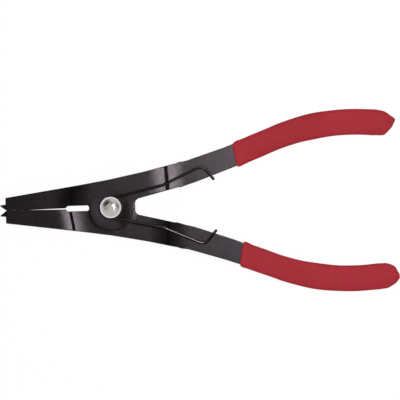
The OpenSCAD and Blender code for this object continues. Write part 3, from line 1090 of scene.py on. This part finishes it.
def make_sleeve(name, node, inner_r, outer_r, low_z, high_z, edge_r, material):
    """A plain ring with rounded edges, for the washer and the bush."""
    corners = ((inner_r, low_z), (outer_r, low_z), (outer_r, high_z), (inner_r, high_z))
    profile = rounded([(r, z, edge_r) for r, z in corners])
    points, faces = lathe(profile, ring_sides, closed=True)
    mesh_piece(name, points, faces, material, node, "rear_lever")


def spring_angles():
    """Angle of the spring's arms in degrees, and how far the coil turns between them."""
    to_bend = np.array([bend_x - coil_centre[0], bend_y])
    arm_angle = degrees(atan2(to_bend[1], to_bend[0]) - asin(coil_r / norm(to_bend)))
    return arm_angle, 360 * coil_turns + 360 - 2 * (90 + arm_angle)


def hook_place(side):
    """Place in plan of a hook beside the handle's inner edge."""
    inner_start = beside(0, -neck_w / 2)
    rise = inner_start - beside(grip_start, -mouth_w / 2)
    slope = rise[1] / rise[0]
    hook_y = inner_start[1] + slope * (hook_x - inner_start[0]) \
        - (wire_d / 2 + hook_gap) * sqrt(1 + slope ** 2)
    return hook_x + hook_along[side], side * (hook_y - hook_off[side])


def spring_arm(side, coil_z, arm_angle):
    """Middle line of one arm, from its hook's end to where it meets the coil."""
    a = radians(arm_angle)
    tangent = coil_centre + coil_r * np.array([-sin(a), side * cos(a)])
    start = (*tangent, coil_z)
    bend = (bend_x, side * bend_y + coil_centre[1], on_front)
    crest = (crest_x, side * crest_y + coil_centre[1], on_handle)
    hook = (*hook_place(side), on_handle)
    end = (*hook[:2], far_z + hook_rise + wire_d / 4)
    return ([np.array(end)] + corner(end, hook, crest, hook_inner_r + wire_d / 2)
            + corner(hook, crest, bend, crest_r) + corner(crest, bend, start, bend_r))


def spring_line():
    """Middle line of the spring from hook to hook, and the height at which its coil ends."""
    arm_angle, sweep = spring_angles()
    coil_top = on_front + (wire_d + wire_gap) * sweep / 360
    steps = ceil(sweep / coil_step)
    coil = []
    for i in range(steps + 1):
        t = i / steps
        x, y = coil_centre + coil_r * heading(90 + arm_angle + sweep * t)
        coil.append(np.array([x, y, on_front + (coil_top - on_front) * t]))
    line = (spring_arm(1, on_front, arm_angle) + coil
            + spring_arm(-1, coil_top, arm_angle)[::-1])
    dense = []
    for a, b in zip(line, line[1:]):
        dense += cut(a, b, max(1, ceil(norm(b - a) / wire_piece_l)))
    return dense + [line[-1]], coil_top


def make_spring(line, material):
    """The spring as a round wire along its line, with chamfered ends."""
    r, nip = wire_d / 2, wire_chamfer
    end_rings = {0: ((r - nip, 0), (r, nip)), len(line) - 1: ((r, -nip), (r - nip, 0))}
    line = np.array(line)
    tangents = np.gradient(line, axis=0)
    tangents /= norm(tangents, axis=1)[:, None]
    normal = np.array([1.0, 0, 0])
    points = []
    for i, (at, along) in enumerate(zip(line, tangents)):
        normal = normal - (normal @ along) * along
        normal /= norm(normal)
        across = np.cross(along, normal)
        for ring_r, shift in end_rings.get(i, ((r, 0),)):
            for k in range(wire_sides):
                c, s = heading(360 * k / wire_sides)
                points.append(tuple(at + shift * along + ring_r * (c * normal + s * across)))
    first_end = tuple(range(wire_sides))
    last_end = tuple(range(len(points) - 1, len(points) - 1 - wire_sides, -1))
    faces = ring_faces(0, len(points) // wire_sides, wire_sides) + [first_end, last_end]
    spring = mesh_piece("return_spring_wire", points, faces, material,
                        "return_spring", sharp=30)
    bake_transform(spring)


def give_surface(piece, name, make_surface):
    """A material for a piece of the studio, from a function of its nodes."""
    material = bpy.data.materials.new(name)
    material.use_nodes = True
    n = Nodes(material.node_tree)
    n.tree.nodes.remove(n.tree.nodes["Principled BSDF"])
    n.feed(n.tree.nodes["Material Output"], {"Surface": make_surface(n)})
    piece.data.materials.append(material)


def floor_surface(n):
    """White that takes a shadow, and mostly glows white to camera and reflections."""
    diffuse = n.add("ShaderNodeBsdfDiffuse", {"Color": [floor_grey] * 3})[0]
    glow = n.add("ShaderNodeEmission", {})[0]
    share = n.maths("MULTIPLY", n.seen(), floor_glow)
    return n.add("ShaderNodeMixShader", {0: share, 1: diffuse, 2: glow})[0]


def pale_floor():
    """White floor that keeps a faint shadow."""
    bpy.ops.mesh.primitive_plane_add(size=floor_size, location=(0, 0, 0))
    floor = bpy.context.object
    floor.name = "floor"
    give_surface(floor, "pale_floor", floor_surface)


def white_world():
    """White to camera and reflections, and a soft fill otherwise."""
    world = bpy.data.worlds.new("studio")
    bpy.context.scene.world = world
    world.use_nodes = True
    n = Nodes(world.node_tree)
    n.feed(n.tree.nodes["Background"],
           {"Color": (1, 1, 1), "Strength": n.span(n.seen(), 0, 1, fill_level, 1)})


def reflected_card(name, centre, width, depth, middle, rim, turn):
    """An oval studio card over the object that only reflections see."""
    bpy.ops.mesh.primitive_circle_add(vertices=card_sides, radius=0.5, fill_type="NGON",
                                      location=centre, rotation=(0, 0, radians(turn)))
    card = bpy.context.object
    card.name = name
    card.scale = (width, depth, 1)
    give_surface(card, name, lambda n: n.add("ShaderNodeEmission", {
        "Strength": n.span(n.reach(n.place), *card_fade, middle, rim)})[0])
    card.visible_camera = False
    card.visible_diffuse = False
    card.visible_shadow = False
    card.visible_transmission = False


def key_lamp():
    """The soft square lamp, which the camera doesn't see."""
    data = bpy.data.lights.new("key", "AREA")
    data.size = key_size
    data.energy = key_watts
    lamp = bpy.data.objects.new("key", data)
    bpy.context.scene.collection.objects.link(lamp)
    lamp.location = key_place
    lamp.rotation_mode = "QUATERNION"
    lamp.rotation_quaternion = (Vector(key_place) - Vector(key_aim)).to_track_quat("Z", "Y")
    lamp.visible_camera = False


def make_camera():
    """Straight down on the pliers, from afar, turned as in the photograph."""
    turn = radians(image_turn)
    right = (image_px / 2 - pivot_px[0]) * pixel_l
    up = (pivot_px[1] - image_px / 2) * pixel_l
    x = right * cos(turn) + up * sin(turn)
    y = -right * sin(turn) + up * cos(turn)
    distance = image_px * pixel_l / 2 / (sensor_w / 2 / lens)
    data = bpy.data.cameras.new("camera")
    data.lens = lens
    data.sensor_width = sensor_w
    data.clip_start, data.clip_end = clip_near_m, clip_far_m
    camera = bpy.data.objects.new("camera", data)
    bpy.context.scene.collection.objects.link(camera)
    camera.location = Vector((x, y, grip_mid_z + distance)) * MM
    camera.rotation_euler = (0, 0, -turn)
    bpy.context.scene.camera = camera


make_camera()
make_levers(lever_steel())
vinyl = grip_vinyl()
make_grip("front_grip", "front_lever", 1, front_coat, vinyl)
make_grip("rear_grip", "rear_lever", -1, rear_coat, vinyl)
line, coil_top = spring_line()
head_z = coil_top + wire_d / 2 + wire_gap
make_rivet(head_z, rivet_nickel())
zinc = zinc_steel()
make_sleeve("tail_washer_ring", "tail_washer", rivet_r + rivet_fit, washer_r, foot_h,
            foot_h + washer_t, washer_edge_r, zinc)
make_sleeve("spring_bush_sleeve", "spring_bush", rivet_r + rivet_fit,
            coil_r - wire_d / 2 - coil_play, face_z + wire_gap, head_z, bush_edge_r, zinc)
make_spring(line, spring_wire())

pale_floor()
white_world()
bpy.context.scene.view_settings.view_transform = "Standard"
key_lamp()
for card in cards:
    reflected_card(*card)
